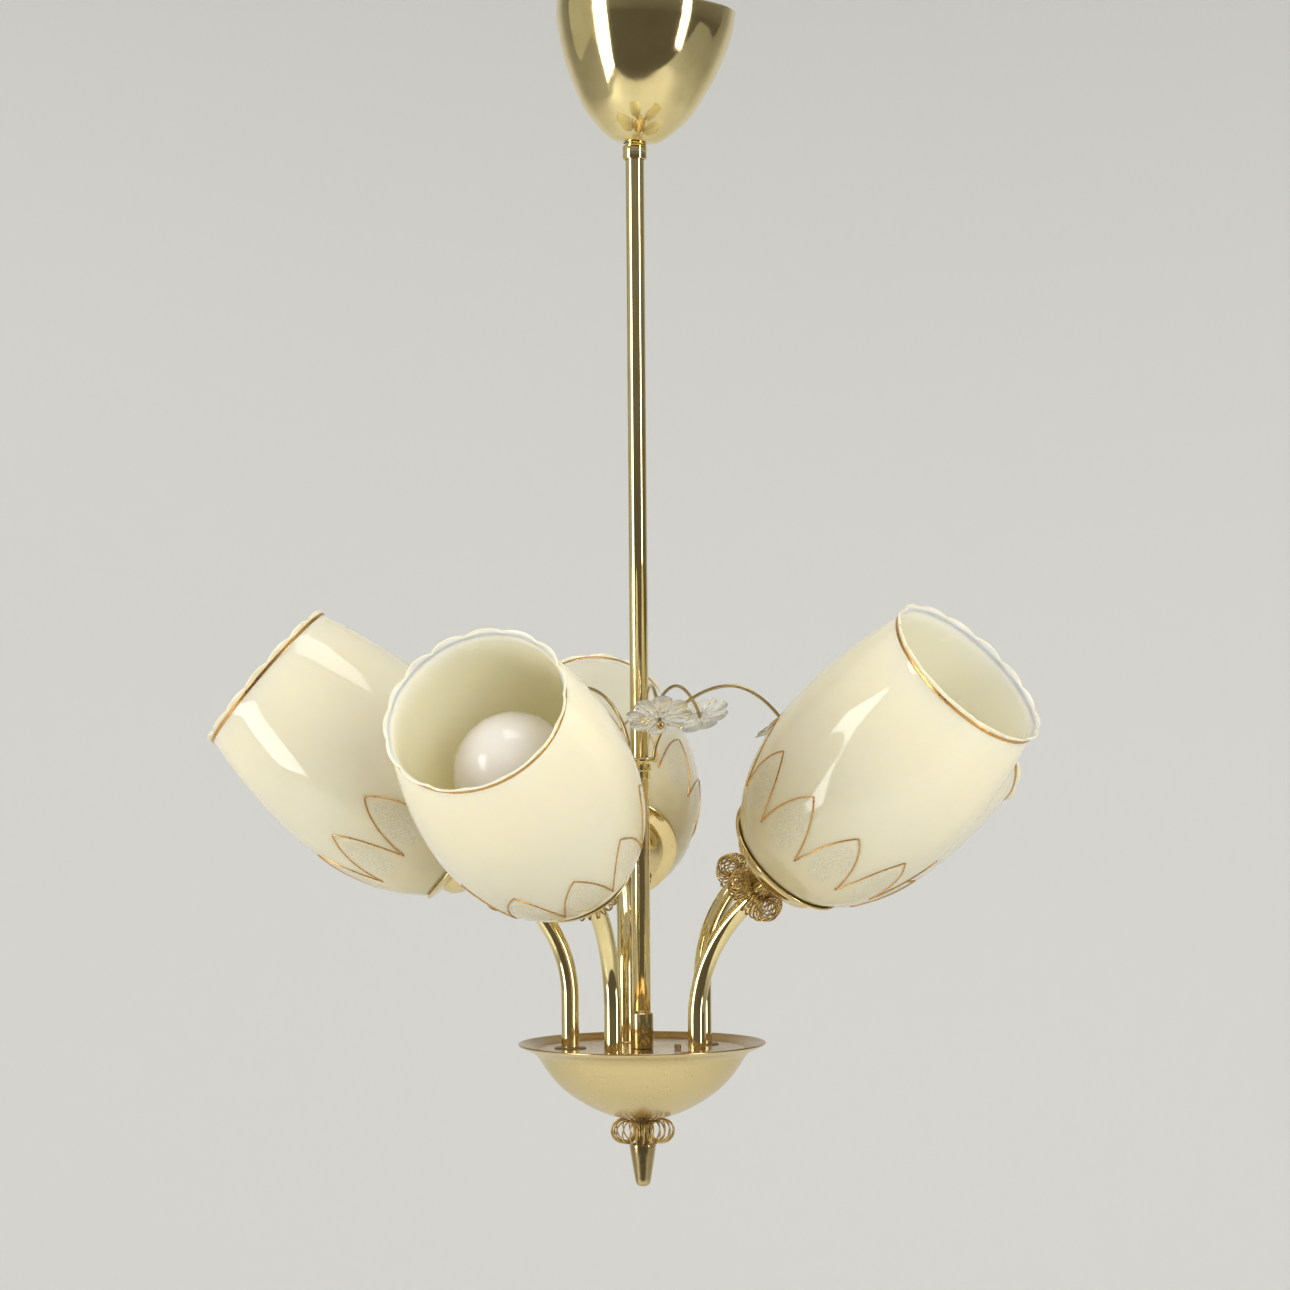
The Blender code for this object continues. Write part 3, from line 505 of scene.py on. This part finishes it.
def coil(name, major, radial, axial, loops, material, wire=0.62, per=22, seed=0, passes=1):
    """A spring bent round into a ring, its turns slightly uneven like hand wound wire."""
    lines = []
    for turn_pass in range(passes):
        count = loops * per
        points = []
        for i in range(count):
            turn = 2 * PI * i / count + turn_pass * PI / loops
            loop = 2 * PI * i / per + turn_pass * 1.3
            k = i / per
            # smooth unevenness that closes on itself
            a = math.sin(turn * 5 + seed) * 0.5 + math.sin(turn * 9 + seed * 2.1 + turn_pass) * 0.5
            b = math.sin(turn * 7 + seed * 1.7) * 0.5 + math.sin(turn * 12 + seed + turn_pass * 2) * 0.5
            rr = radial * (1.0 - 0.05 * turn_pass + 0.07 * a)
            aa = axial * (1.0 - 0.04 * turn_pass + 0.07 * b)
            lean = 0.16 * b + (0.35 if turn_pass else 0.0) * math.sin(loop)
            r = major + rr * math.cos(loop)
            t = turn + lean * 0.22
            points.append((r * math.cos(t), r * math.sin(t), aa * math.sin(loop)))
        lines.append(points)
    return sweep(name, lines, wire, material, 7, closed=True, angle=0)


# ------------------------------------------------------------------ camera, floor and lights
camera_data = bpy.data.cameras.new("camera")
camera_data.sensor_width = 36.0
camera_data.lens = 36.0 * 3320.0 / 1290.0
camera_data.shift_y = 84.0 / 1290.0
camera_data.clip_start = 0.05
camera_data.clip_end = 60.0
camera = bpy.data.objects.new("camera", camera_data)
bpy.context.scene.collection.objects.link(camera)
camera.matrix_world = Matrix.Translation((0.0040, -2.3714, (RIM_Z + 224.7) * MM)) @ Matrix.Rotation(rad(90), 4, "X") @ Matrix.Rotation(rad(-0.47), 4, "Z")
bpy.context.scene.camera = camera


def backdrop():
    line = [(-1.5, -1.75), (2.0, -1.75)]
    for i in range(1, 17):
        a = PI / 2 * i / 16
        line.append((2.0 + 1.4 * math.sin(a), -1.75 + 1.4 * (1 - math.cos(a))))
    line.append((3.4, 4.5))
    points, faces = [], []
    for y, z in line:
        points += [(-7.0, y, z), (7.0, y, z)]
    for i in range(len(line) - 1):
        faces.append((2 * i, 2 * i + 1, 2 * i + 3, 2 * i + 2))
    made = mesh_object("backdrop", points, faces, pale_wall(), None, 60.0)
    return made


backdrop()


def area(name, place_at, aim, size_x, size_y, power, colour=(1, 1, 1), mirrored=True):
    data = bpy.data.lights.new(name, "AREA")
    data.shape = "RECTANGLE"
    data.size, data.size_y = size_x, size_y
    data.energy = power
    data.color = colour
    made = bpy.data.objects.new(name, data)
    made.visible_glossy = mirrored
    bpy.context.scene.collection.objects.link(made)
    made.matrix_world = Matrix.Translation(place_at) @ (Vector(aim) - Vector(place_at)).to_track_quat("-Z", "Y").to_matrix().to_4x4()
    return made


area("strip_left", (-1.85, -1.05, -0.50), (0, -0.02, -0.50), 0.70, 2.1, 27.0, (1.0, 0.995, 0.99))
area("strip_right", (1.62, -1.20, -0.30), (0, 0, -0.40), 0.40, 1.9, 14.0, (1.0, 0.99, 0.98))
area("fill_front", (0.75, -2.15, -0.25), (0, 0, -0.50), 1.1, 1.3, 24.0, (1.0, 0.99, 0.975), mirrored=False)
area("overhead", (0.1, -0.5, 1.9), (0, 0.1, -0.5), 1.6, 1.2, 20.0, (1.0, 0.995, 0.99))
area("wall_left", (-2.4, 1.2, 0.6), (0.2, 3.2, -0.4), 1.4, 2.2, 22.0, mirrored=False)
area("wall_right", (2.6, 1.2, 0.4), (-0.2, 3.2, -0.6), 1.4, 2.2, 21.0, mirrored=False)

world = bpy.data.worlds.new("studio")
world.use_nodes = True
bpy.context.scene.world = world
wt = world.node_tree
back = wt.nodes["Background"]
geo = wt.nodes.new("ShaderNodeTexCoord")
gradient = wt.nodes.new("ShaderNodeSeparateXYZ")
wt.links.new(geo.outputs["Generated"], gradient.inputs["Vector"])
sky = wt.nodes.new("ShaderNodeValToRGB")
sky.color_ramp.elements[0].position = 0.42
sky.color_ramp.elements[0].color = (0.11, 0.10, 0.085, 1)
sky.color_ramp.elements[1].position = 0.85
sky.color_ramp.elements[1].color = (0.42, 0.415, 0.40, 1)
wide = wt.nodes.new("ShaderNodeMapRange")
wide.inputs["From Min"].default_value = -1.0
wt.links.new(gradient.outputs[2], wide.inputs["Value"])
wt.links.new(wide.outputs["Result"], sky.inputs["Fac"])
# the studio's pale wall stands on the left, and the room on the right is dark
leftward = wt.nodes.new("ShaderNodeMapRange")
leftward.inputs["From Min"].default_value = -0.72
leftward.inputs["From Max"].default_value = -0.86
wt.links.new(gradient.outputs[0], leftward.inputs["Value"])
blend = wt.nodes.new("ShaderNodeMix")
blend.data_type = "RGBA"
blend.inputs["B"].default_value = (0.47, 0.46, 0.40, 1)
wt.links.new(leftward.outputs["Result"], blend.inputs["Factor"])
wt.links.new(sky.outputs["Color"], blend.inputs["A"])
wt.links.new(blend.outputs["Result"], back.inputs["Color"])
back.inputs["Strength"].default_value = 1.0

# ------------------------------------------------------------------ stem, canopy, loop
stem = lathe(
    "stem", [(ROD_R - 0.3, ROD_TOP)] + [(ROD_R, ROD_TOP - 0.4), (ROD_R, 24.0), (ROD_R - 0.05, 23.9)]
    + [p for k in range(7) for p in ((6.35, 23.6 - k * 1.1), (6.62, 23.15 - k * 1.1))] + [(6.3, ROD_BOTTOM), (ROD_R - ROD_WALL, ROD_BOTTOM), (ROD_R - ROD_WALL, ROD_TOP)],
    ROD_BRASS, 64, closed=True,
)
place(stem, LAMP, "lamp_frame", "stem_rod", "polished_brass")

loop_ring = [(LOOP_R * math.cos(2 * PI * i / 96), 0.0, LOOP_CENTRE + LOOP_R * math.sin(2 * PI * i / 96)) for i in range(96)]
loop = sweep("hanging_loop_ring", [loop_ring], LOOP_WIRE, POLISHED, 24, closed=True)
place(loop, LAMP, "lamp_frame", "hanging_loop", "polished_brass")
loop_neck = lathe(
    "hanging_loop_neck",
    [(0.0, LOOP_CENTRE - LOOP_R + 0.6), (2.6, LOOP_CENTRE - LOOP_R + 0.4), (3.2, LOOP_CENTRE - LOOP_R - 0.4), (3.6, ROD_TOP + 7.4), (4.6, ROD_TOP + 6.4), (6.1, ROD_TOP + 5.8), (6.4, ROD_TOP + 5.3), (6.4, ROD_TOP + 0.6), (6.1, ROD_TOP + 0.3), (0.0, ROD_TOP + 0.3)],
    POLISHED, 48,
)
place(loop_neck, LAMP, "lamp_frame", None, "polished_brass")

collar = lathe(
    "collar",
    [(7.1, COLLAR_TOP), (7.9, COLLAR_TOP), (8.4, COLLAR_TOP - 0.3), (COLLAR_R, COLLAR_TOP - 0.9), (COLLAR_R, COLLAR_TOP - 4.2), (8.35, COLLAR_TOP - 4.5), (8.35, COLLAR_TOP - 5.0), (COLLAR_R, COLLAR_TOP - 5.3),
     (COLLAR_R, COLLAR_TOP - COLLAR_HEIGHT + 0.8), (8.3, COLLAR_TOP - COLLAR_HEIGHT + 0.15), (7.8, COLLAR_TOP - COLLAR_HEIGHT), (7.05, COLLAR_TOP - COLLAR_HEIGHT)],
    POLISHED, 64, closed=True,
)
place(collar, LAMP, "collar", "canopy_collar", "polished_brass")

lean = Vector((math.tan(rad(5.3)), -math.tan(rad(3.8)), 1.0))
flat = Vector((lean.x, lean.y, 0.0)).normalized()
CANOPY = LAMP @ Matrix.Translation((0, 0, CANOPY_FOOT * MM)) @ Matrix.Rotation(lean.angle(Vector((0, 0, 1))), 4, Vector((-flat.y, flat.x, 0.0)))
canopy_outside = rolled([(64.0, 97.4), (63.8, 91.0), (63.2, 84.5), (61.5, 76.4), (59.2, 67.9), (56.4, 59.3), (53.1, 50.7), (49.2, 42.1), (44.9, 33.6), (40.1, 25.0), (33.8, 16.6), (26.0, 9.0), (20.5, 4.4), (16.0, 1.7), (11.5, 0.5), (8.2, 0.0)], 5)
canopy_inside = [(max(r - 1.2 * c, 8.2), z + 1.2 * (1 - c) + 0.05) for (r, z), c in ((p, min(1.0, p[1] / 30.0)) for p in canopy_outside)]
canopy_line = [(59.8, 98.0), (63.3, 98.0), (63.85, 97.8)] + canopy_outside + [(8.2, 1.2)] + canopy_inside[::-1][3:-3] + [(62.8, 96.8), (59.8, 96.8)]
canopy = lathe("canopy_cup", canopy_line, POLISHED, 128, closed=True, angle=42.0)
place(canopy, CANOPY, "canopy_cup", "canopy", "polished_brass")

# ------------------------------------------------------------------ hub and crystal spray
hub = lathe(
    "spray_hub",
    [(7.0, HUB_TOP), (12.4, HUB_TOP), (13.0, HUB_TOP - 0.3), (HUB_FLANGE_R, HUB_TOP - 1.0), (HUB_FLANGE_R, HUB_TOP - 2.8), (12.9, HUB_TOP - 3.5), (12.0, HUB_TOP - 4.0), (9.3, HUB_TOP - 4.3), (8.6, HUB_TOP - 4.9),
     (8.6, HUB_TOP - 9.2), (8.3, HUB_TOP - 9.8), (7.6, HUB_TOP - 10.2), (7.5, HUB_TOP - 10.6), (7.5, HUB_TOP - 15.2), (7.2, HUB_TOP - 15.6), (7.0, HUB_TOP - 15.6)],
    POLISHED, 64, closed=True,
)
place(hub, LAMP, "lamp_frame", "wire_hub", "polished_brass")


def rosette_mesh(name):
    """Pressed glass rosette: eight round, ribbed petals on a dished disc with a raised eye."""
    around, across = 160, 20
    bore = WIRE_R + 0.3
    tops, lows, points = [], [], []
    for level in range(across + 1):
        q = level / across
        tops.append([])
        lows.append([])
        for i in range(around):
            turn = 2 * PI * i / around
            lobe = abs(math.cos(4 * turn)) ** 0.55
            reach = FLOWER_R * (0.80 + 0.20 * lobe)
            r = bore + (reach - bore) * q
            dish = 2.5 * (r / FLOWER_R) ** 2
            rib = math.cos(4 * turn)
            crest = lobe * math.sin(PI * min(1.0, q * 1.02)) ** 0.8
            round_off = math.sqrt(max(0.0, 1 - q ** 5))
            rays = 0.22 * math.cos(40 * turn) * q * (1 - q) * 4 * (0.3 + 0.7 * lobe)
            eye = 1.1 * math.exp(-((r - 4.6) / 2.0) ** 2)
            top = dish + (0.55 + 1.25 * crest + eye + rays) * round_off
            low = dish - (0.7 + 0.75 * crest + 0.35 * math.cos(16 * turn) * q * (1 - q) * 3) * round_off
            tops[-1].append(len(points))
            points.append((r * math.cos(turn) * MM, r * math.sin(turn) * MM, top * MM))
            lows[-1].append(len(points))
            points.append((r * math.cos(turn) * MM, r * math.sin(turn) * MM, (low if q < 1 else top - 0.12) * MM))
    faces = []
    for i in range(around):
        j = (i + 1) % around
        for level in range(across):
            faces.append((tops[level][i], tops[level + 1][i], tops[level + 1][j], tops[level][j]))
            faces.append((lows[level][i], lows[level][j], lows[level + 1][j], lows[level + 1][i]))
        faces.append((tops[across][i], lows[across][i], lows[across][j], tops[across][j]))
        faces.append((tops[0][i], tops[0][j], lows[0][j], lows[0][i]))
    return mesh_object(name, points, faces, CRYSTAL, None, 50.0)


for number, (azimuth, top_r, top_z, end_r, end_z) in enumerate(SPRAY, 1):
    out = Vector((math.cos(rad(azimuth)), math.sin(rad(azimuth)), 0.0))
    up = Vector((0, 0, 1.0))
    heading = out * math.cos(rad(FLOWER_SLOPE)) - up * math.sin(rad(FLOWER_SLOPE))
    root = out * WIRE_ROOT_R + up * (HUB_TOP - 0.2)
    crown = out * top_r + up * top_z
    at = out * end_r + up * end_z
    line = [bezier(root, root + up * 26.0 + out * 2.0, crown - out * 25.0, crown, i / 28) for i in range(28)]
    before = at - heading * 3.0
    line += [bezier(crown, crown + out * 16.0, before - heading * 9.0, before, i / 20) for i in range(21)]
    radii = [WIRE_R] * len(line)
    middle = FLOWER_THICK / 2 + 0.7 + BALL_R
    line.append(at + heading * (middle - BALL_R * 0.98))
    radii.append(WIRE_R)
    for i in range(1, 16):
        a = PI * i / 16
        rr = BALL_R * math.sin(a)
        if rr < WIRE_R and i < 8:
            continue
        line.append(at + heading * (middle - BALL_R * math.cos(a)))
        radii.append(rr)
    wire = sweep(f"spray_wire_{number}", [line], WIRE_R, SPRAY_BRASS, 16, radii=radii)
    place(wire, LAMP, "lamp_frame", f"crystal_wire_{number}", "polished_brass")
    # the pressed glass rosette at the wire's end
    spot = LAMP @ Matrix.Translation(at * MM) @ upright(-heading)
    flower = rosette_mesh(f"rosette_{number}")
    place(flower, spot, f"flower_{number}", f"crystal_flower_{number}", "crystal")

# ------------------------------------------------------------------ bowl and centre body
# The sleeve takes the darker brass, which is painted shade.
sleeve = lathe(
    "sleeve",
    [(6.95, 22.0), (7.8, 22.0), (8.1, 21.7), (8.2, 21.2), (8.2, -2.5), (8.0, -3.0), (7.6, -3.1), (6.95, -3.1)],
    SHADE_PAINTED_BRASS, 64, closed=True,
)
place(sleeve, LAMP, "lamp_frame", "coupling_sleeve", "polished_brass")

bowl_outside = rolled([(87.9, -0.5), (84.6, -2.2), (80.6, -3.9), (77.2, -5.7), (74.6, -8.0), (72.6, -11.0), (70.4, -14.6), (67.4, -19.0), (63.0, -24.6), (58.0, -30.0), (52.5, -34.6), (46.0, -39.2), (38.0, -43.9), (29.5, -48.0), (20.0, -51.2), (12.0, -52.3), (5.7, -52.4)], 4)
bowl_inside = [(5.7, -51.2), (12.0, -51.1), (19.8, -50.0), (29.0, -46.9), (37.4, -42.8), (45.3, -38.1), (51.7, -33.6), (57.1, -29.1), (62.0, -23.8), (66.3, -18.4), (69.3, -14.2), (71.4, -10.6), (73.6, -7.2), (76.6, -4.7), (80.1, -2.7), (84.0, -0.9), (87.2, 0.7)]
bowl_line = [(88.0, 0.95), (88.35, 0.6), (88.4, 0.1)] + bowl_outside + rolled(bowl_inside, 3)
# The rim top and the inside rows take the darker brass, which is painted shade.
bowl = lathe("bowl_shell", bowl_line, [SATIN, BOWL_INSIDE_SHADE], 144, closed=True, angle=40.0, pick=lambda row: int(row <= 1 or row >= 2 + len(bowl_outside)))
place(bowl, LAMP, "lamp_frame", "bowl", "satin_brass")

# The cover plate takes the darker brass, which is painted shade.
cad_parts["cover_plate"].data.materials.clear()
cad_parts["cover_plate"].data.materials.append(PLATE_SHADE_BRASS)
for name, look in (("set_screw_upper", POLISHED), ("set_screw_lower", POLISHED), ("plate_screw", DEEP_BROWN_BRASS), ("plate_pin", DEEP_BROWN_BRASS), ("tie_nipple", DEEP_BROWN_BRASS)):
    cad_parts[name].data.materials.clear()
    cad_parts[name].data.materials.append(look)

base_coil = coil("bottom_coil", 14.2, 8.2, 8.2, 25, WIRE_BRASS, 0.58, 24, seed=2)
place(base_coil, LAMP @ Matrix.Translation((0, 0, -62.0 * MM)), "lamp_frame", "bottom_ruffle", "wire_brass")

finial_line = [(0.0, -89.8), (5.4, -89.8), (5.4, -71.4)] + rolled([(9.0, -71.4), (9.4, -71.8), (9.45, -72.6), (9.2, -74.6), (8.8, -77.6), (8.1, -82.0), (7.4, -86.2), (6.7, -90.5), (6.0, -94.8), (5.4, -98.2), (4.8, -99.9), (3.6, -101.1), (1.8, -101.7)], 3) + [(0.0, -101.85)]
# The finial takes the darker brass, which is painted shade.
finial = lathe("end_finial", finial_line, SHADE_PAINTED_BRASS, 64)
place(finial, LAMP, "lamp_frame", "finial", "polished_brass")


# ------------------------------------------------------------------ arms and shades
GLASS_LINE = [
    (27.0, -5.5), (35.0, -3.2), (43.0, 0.8), (46.6, 4.4), (52.0, 11.8), (57.4, 20.4), (62.4, 31.0), (66.8, 44.0), (70.6, 60.0), (72.8, 76.0), (73.7, 92.0),
    (73.4, 108.0), (72.2, 124.0), (69.9, 141.0), (66.7, 159.0), (63.4, 174.0), (60.9, 183.5), (60.3, 188.0),
]


def glass_radius(u):
    line = OUTSIDE
    for (r0, u0), (r1, u1) in zip(line[:-1], line[1:]):
        if u0 <= u <= u1:
            return r0 + (r1 - r0) * (u - u0) / (u1 - u0 + 1e-9)
    return line[-1][0]


OUTSIDE = rolled(GLASS_LINE, 5)
LIP_OUT = [(60.45, 189.2), (60.75, 189.9), (61.1, 190.6), (61.35, 191.2), (61.3, 191.8), (60.9, 192.2), (60.3, 192.1), (59.8, 191.5), (59.35, 190.5), (58.95, 189.3), (58.5, 187.8)]
INSIDE_LINE = rolled([(58.1, 185.0), (59.8, 174.5), (62.9, 159.0), (66.2, 141.0), (68.6, 124.0), (69.9, 108.0), (70.2, 92.0), (69.3, 76.0), (67.1, 60.5), (63.4, 45.4), (59.0, 32.8), (53.8, 22.0), (48.2, 12.8), (42.6, 5.6), (38.6, 1.6), (33.0, -1.2), (26.0, -2.1), (16.0, -2.1)], 3) + [(7.0, -2.1)]


def ruffle(r, u, turn):
    """The mouth: shallow uneven scallops that fade out below the gilt line."""
    fade = max(0.0, min(1.0, (u - 189.3) / 2.0))
    fade = fade * fade * (3 - 2 * fade)
    swing = 7.5 * turn + 0.22 * math.sin(2 * turn + 0.5)
    lobe = abs(math.cos(swing)) ** 0.65 * 2 - 1
    uneven = 0.85 + 0.25 * math.sin(3 * turn + 0.7)
    return r + fade * (1.3 * lobe * uneven - 0.2), u + fade * 0.9 * lobe * uneven


def petal_edge(aside):
    """Height of a petal's edge, from its tip at 0 to the valley at 1."""
    return PETAL_HIGH - (PETAL_HIGH - PETAL_LOW) * (0.5 * aside + 0.5 * aside ** 2.8)


CUP_LINE = [(44.9, 0.6), (45.4, 0.5), (45.7, 0.0), (45.6, -0.7), (45.0, -1.4), (43.0, -2.2), (40.0, -3.1), (36.6, -3.9), (34.6, -4.5), (33.7, -5.3), (33.3, -6.6), (32.6, -9.2), (30.6, -12.4), (27.4, -15.4), (23.2, -18.0), (18.0, -20.3), (12.0, -22.0), (8.6, -22.8), (6.7, -23.0)]
CUP_IN = [(6.7, -22.1), (12.0, -21.0), (17.8, -19.3), (22.6, -17.1), (26.7, -14.6), (29.8, -11.7), (31.7, -8.8), (32.4, -6.2), (33.0, -4.6), (34.2, -3.6), (36.4, -3.0), (39.8, -2.2), (42.6, -1.3), (44.1, -0.5), (44.5, 0.2)]

for number, (cx, cy, cz, azimuth, tilt, bend_r) in enumerate(ARMS, 1):
    a = rad(HOLE_FIRST + 72.0 * (number - 1))
    foot = Vector((HOLE_RING_R * math.cos(a), HOLE_RING_R * math.sin(a), 0.0))
    level = Vector((math.cos(rad(azimuth)), math.sin(rad(azimuth)), 0.0))
    axis = level * math.cos(rad(tilt)) + Vector((0, 0, math.sin(rad(tilt))))
    centre = Vector((cx, cy, cz))
    reach = (Vector((cx, cy, 0)) - foot).length
    bend = rad(90.0 - tilt)
    tangent = bend_r * math.tan(bend / 2)
    start_z = cz - reach * math.tan(rad(tilt)) - tangent
    straight = reach / math.cos(rad(tilt)) - tangent
    handle = bend_r * math.tan(bend / 4) * 4 / 3
    body = f"arm_{number}"
    low = foot + Vector((0, 0, start_z))
    high = centre - axis * straight
    h1, h2 = low + Vector((0, 0, handle)), high - axis * handle
    line = [foot + Vector((0, 0, TUBE_FOOT + (start_z - TUBE_FOOT) * i / 6)) for i in range(6)]
    line += [bezier(low, h1, h2, high, i / 40) for i in range(41)]
    line += [high + (centre + axis * TUBE_END - high) * (i / 8) for i in range(1, 9)]
    tube = sweep(f"tube_{number}", [line], TUBE_R, ROD_BRASS, 40)
    place(tube, LAMP, body, f"arm_tube_{number}", "polished_brass")

    # The washers carry painted shade: arms 4 and 2 in the very dark brown brass, the others in the darker plate brass.
    washer = lathe(
        f"foot_washer_{number}",
        [(6.6, PLATE_TOP + 1.25), (9.6, PLATE_TOP + 1.25), (10.9, PLATE_TOP + 1.0), (11.5, PLATE_TOP + 0.5), (11.5, PLATE_TOP + 0.05), (6.6, PLATE_TOP + 0.05)],
        DEEP_BROWN_BRASS if number in (4, 2) else PLATE_SHADE_BRASS, 48, closed=True,
    )
    place(washer, LAMP @ Matrix.Translation(foot * MM), body, None, "aged_brass")

    shade_place = LAMP @ Matrix.Translation(centre * MM) @ upright(axis)
    if -COIL_AT <= straight:
        coil_at, coil_way = centre + axis * COIL_AT, axis
    else:
        t = 1.0 - (-COIL_AT - straight) / (bend_r * bend)
        coil_at = bezier(low, h1, h2, high, t)
        coil_way = (bezier(low, h1, h2, high, min(t + 0.02, 1.0)) - bezier(low, h1, h2, high, t - 0.02)).normalized()
    ring = coil(f"wire_coil_{number}", 14.6, 6.9, 8.2, 23, WIRE_BRASS, 0.52, 20, seed=number, passes=2)
    place(ring, LAMP @ Matrix.Translation(coil_at * MM) @ upright(coil_way), body, f"arm_ruffle_{number}", "wire_brass")

    cup = lathe(f"cup_{number}", rolled(CUP_LINE, 3) + rolled(CUP_IN, 2), CUP_BRASS, 96, closed=True, angle=48.0)
    place(cup, shade_place, body, f"shade_cup_{number}", "polished_brass")

    lines = [(7.0, -5.5), (16.0, -5.5)] + OUTSIDE
    outside_rows = len(lines)
    lip_rows = outside_rows + len(LIP_OUT)
    full = lines + LIP_OUT + INSIDE_LINE
    # the profile is listed upwards on the outside, so it is turned round to run down it
    full = full[::-1]
    total = len(full)

    def glass_pick(row, total=total, outside_rows=outside_rows, lip_rows=lip_rows):
        k = total - 1 - row
        if k <= outside_rows - 1 and k > 0:
            return 0
        return 1 if 0 < k <= lip_rows - 4 else 2

    shade = lathe(f"shade_{number}", full, [opal_outside(number), LIP, INSIDE], 240, closed=True, angle=0, change=ruffle, pick=glass_pick)
    place(shade, shade_place, body, f"glass_shade_{number}", "opal_glass")

    gold = []
    for p in range(PETALS):
        for half in (0, 1):
            run = []
            for i in range(33):
                aside = i / 32
                u = petal_edge(aside)
                wave = aside / 2 if half else -aside / 2
                turn = (p + wave + PETAL_PHASE[number - 1]) * 2 * PI / PETALS
                r = glass_radius(u) + 0.1
                run.append((r * math.cos(turn), r * math.sin(turn), u))
            gold.append(run)
    petals = sweep(f"gilt_petals_{number}", gold, 0.6, GILT, 6, angle=0)
    place(petals, shade_place, body, None, "polished_brass")
    band = lathe(
        f"gilt_band_{number}",
        [(60.05, 189.7), (60.5, 189.6), (60.75, 189.2), (60.72, 188.4), (60.75, 187.5), (60.6, 187.2), (60.05, 187.2)],
        GILT, 180, closed=True,
    )
    place(band, shade_place, body, None, "polished_brass")

    nut = lathe(
        f"clamp_nut_{number}",
        [(7.0, 2.1), (13.6, 2.1), (14.6, 1.7), (15.0, 1.0), (15.0, -0.9), (14.6, -1.6), (14.0, -1.8), (7.0, -1.8)],
        POLISHED, 48, closed=True, change=lambda r, z, t: (r * (1.0 - 0.05 * (r > 12) * (0.5 + 0.5 * math.cos(6 * t))), z),
    )
    place(nut, shade_place, body, f"shade_nut_{number}", "polished_brass")
    socket = lathe(
        f"socket_{number}",
        [(0.0, 16.0), (13.9, 16.0), (13.9, 45.6), (14.3, 46.0), (16.0, 46.0), (16.5, 45.6), (16.6, 45.0)]
        + [p for k in range(6) for p in ((16.6, 44.0 - k * 2.6), (15.9, 43.4 - k * 2.6), (15.9, 42.6 - k * 2.6), (16.6, 42.0 - k * 2.6))]
        + [(16.6, 26.0), (16.6, 18.4), (16.2, 17.2), (11.2, 8.6), (10.5, 7.6), (10.5, 4.3), (0.0, 4.3)],
        HOLDER, 64,
    )
    place(socket, shade_place, body, f"lamp_socket_{number}", "holder")

    globe = [(BULB_R * math.sin(rad(b)), BULB_CENTRE + BULB_R * math.cos(rad(b))) for b in [3 + 6 * i for i in range(23)]]
    neck = rolled([globe[-1], (24.4, 81.6), (18.6, 75.4), (15.2, 69.4), (13.6, 62.0), (13.1, 54.0), (13.0, 50.0)], 4)[1:]
    threads = [p for k in range(7) for p in ((13.2, 48.6 - k * 3.4), (12.2, 46.9 - k * 3.4))]
    bulb_line = [(0.0, BULB_CENTRE + BULB_R)] + globe + neck + [(13.1, 49.6)] + threads + [(12.0, 24.4), (5.6, 20.4), (5.0, 18.6), (3.6, 18.0), (0.0, 18.0)]
    glass_end = 1 + len(globe) + len(neck) - 2
    bulb = lathe(f"globe_lamp_{number}", bulb_line, [BULB_GLASS, STEEL], 96, pick=lambda row, e=glass_end: 0 if row <= e else 1, angle=60.0)
    place(bulb, shade_place, f"globe_{number}", f"bulb_{number}", "bulb_glass")

bpy.context.view_layer.update()
